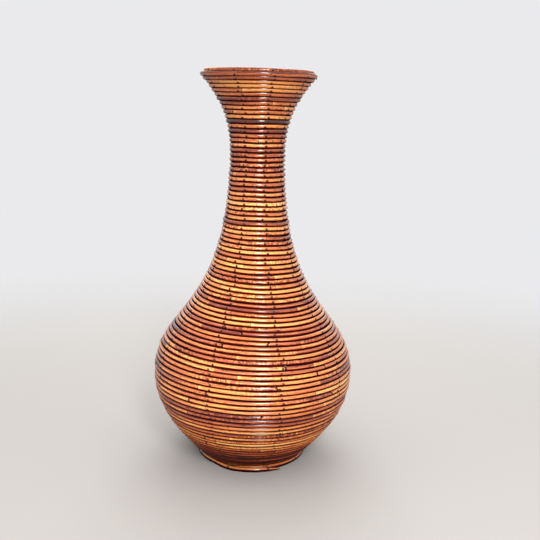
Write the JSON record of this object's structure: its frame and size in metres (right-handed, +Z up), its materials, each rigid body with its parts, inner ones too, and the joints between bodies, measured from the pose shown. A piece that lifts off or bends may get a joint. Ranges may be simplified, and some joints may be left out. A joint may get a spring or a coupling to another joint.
{
  "type": "rattan vase",
  "caption": "Tall bottle-shaped vase with a flared mouth, slim neck, round belly and small foot, built of lacquered cane hoops nailed to upright ribs.",
  "frame": {"origin": "on the floor under the vase's axis, at the middle of the foot", "axes": "+Z up along the axis from foot to mouth, -Y towards the viewer, +X to the viewer's right"},
  "size_m": [0.2464, 0.2458, 0.475],
  "materials": {
    "walnut": "stained dark, gloss lacquer",
    "russet": "stained red-brown, gloss lacquer",
    "amber": "stained amber, gloss lacquer",
    "honey": "lightly stained, gloss lacquer",
    "rib_cane": "raw split cane",
    "plywood": "raw sanded"
  },
  "bodies": {
    "root": {"base_board": "plywood", "foot_hoop_1": "russet", "foot_hoop_2": "russet", "cane_band_01": "walnut", "cane_band_02": "russet", "cane_band_03": "amber", "cane_band_04": "amber", "cane_band_05": "russet", "cane_band_06": "honey", "cane_band_07": "amber", "cane_band_08": "amber", "cane_band_09": "russet", "cane_band_10": "amber", "cane_band_11": "russet", "cane_band_12": "honey", "cane_band_13": "honey", "cane_band_14": "russet", "cane_band_15": "amber", "cane_band_16": "honey", "cane_band_17": "amber", "cane_band_18": "russet", "cane_band_19": "russet", "cane_band_20": "walnut", "cane_band_21": "amber", "cane_band_22": "russet", "cane_band_23": "amber", "rim_hoop": "amber", "rib_1": "rib_cane", "rib_2": "rib_cane", "rib_3": "rib_cane", "rib_4": "rib_cane", "rib_5": "rib_cane", "rib_6": "rib_cane", "rib_7": "rib_cane", "rib_8": "rib_cane", "rib_9": "rib_cane"}
  },
  "joints": []
}
